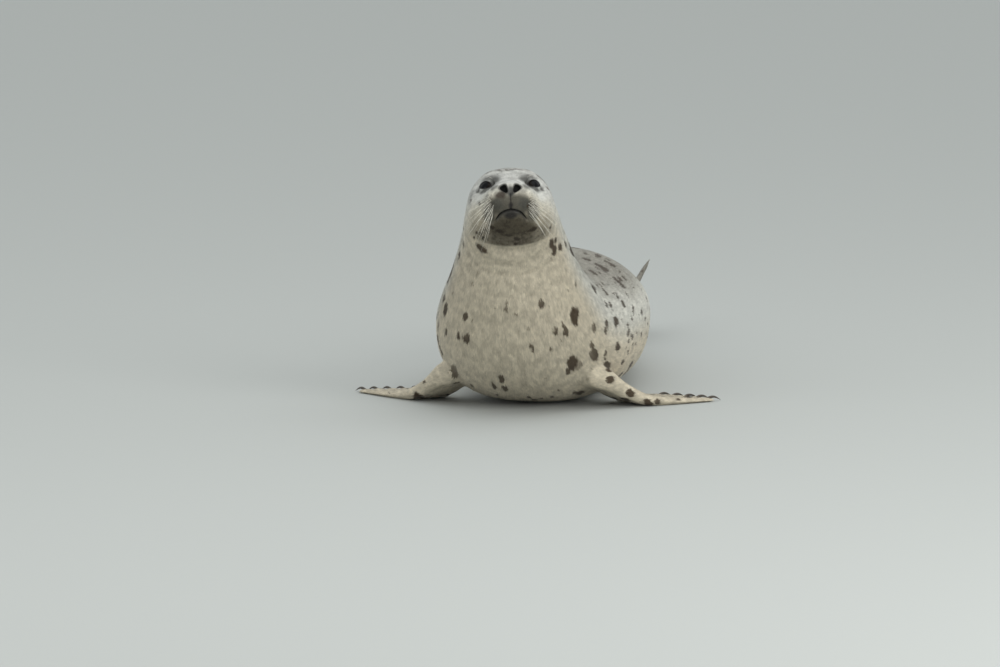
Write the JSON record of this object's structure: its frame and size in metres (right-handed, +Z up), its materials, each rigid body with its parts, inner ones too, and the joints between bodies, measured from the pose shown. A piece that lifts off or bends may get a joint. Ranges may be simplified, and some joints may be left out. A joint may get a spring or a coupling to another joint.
{
  "type": "spotted seal",
  "caption": "Life-size earless seal at rest on its belly, neck raised and chin lifted, with flippers, whiskers and spotted coat.",
  "frame": {"origin": "on the floor, under the middle of the animal's bounding box", "axes": "+Z up, +X towards the animal's left side, -Y the way it faces"},
  "size_m": [0.7652, 1.6066, 0.5343],
  "materials": {
    "coat": "short flat fur, pale grey with dark spots, darker on the back",
    "face_coat": "short flat fur, whitish with grey flecks, dark on the whisker pads and chin",
    "flipper_coat": "very short flat fur, grey, over skin",
    "nose_skin": "bare dark skin, moist",
    "eye": "wet, near black",
    "claw": "dark horn"
  },
  "bodies": {
    "root": {"head": "coat", "muzzle": "face_coat", "nose": "nose_skin", "lower_jaw": "face_coat", "eye_left": "eye", "eye_right": "eye", "neck": "coat", "shoulders": "coat", "torso": "coat", "loin": "coat", "hindquarters": "coat", "tail": "coat", "fore_flipper_left": "flipper_coat", "fore_claw_left_1": "claw", "fore_claw_left_2": "claw", "fore_claw_left_3": "claw", "fore_claw_left_4": "claw", "fore_claw_left_5": "claw", "hind_flipper_left": "flipper_coat", "hind_claw_left_1": "claw", "hind_claw_left_2": "claw", "hind_claw_left_3": "claw", "hind_claw_left_4": "claw", "hind_claw_left_5": "claw", "fore_flipper_right": "flipper_coat", "fore_claw_right_1": "claw", "fore_claw_right_2": "claw", "fore_claw_right_3": "claw", "fore_claw_right_4": "claw", "fore_claw_right_5": "claw", "hind_flipper_right": "flipper_coat", "hind_claw_right_1": "claw", "hind_claw_right_2": "claw", "hind_claw_right_3": "claw", "hind_claw_right_4": "claw", "hind_claw_right_5": "claw"}
  },
  "joints": []
}
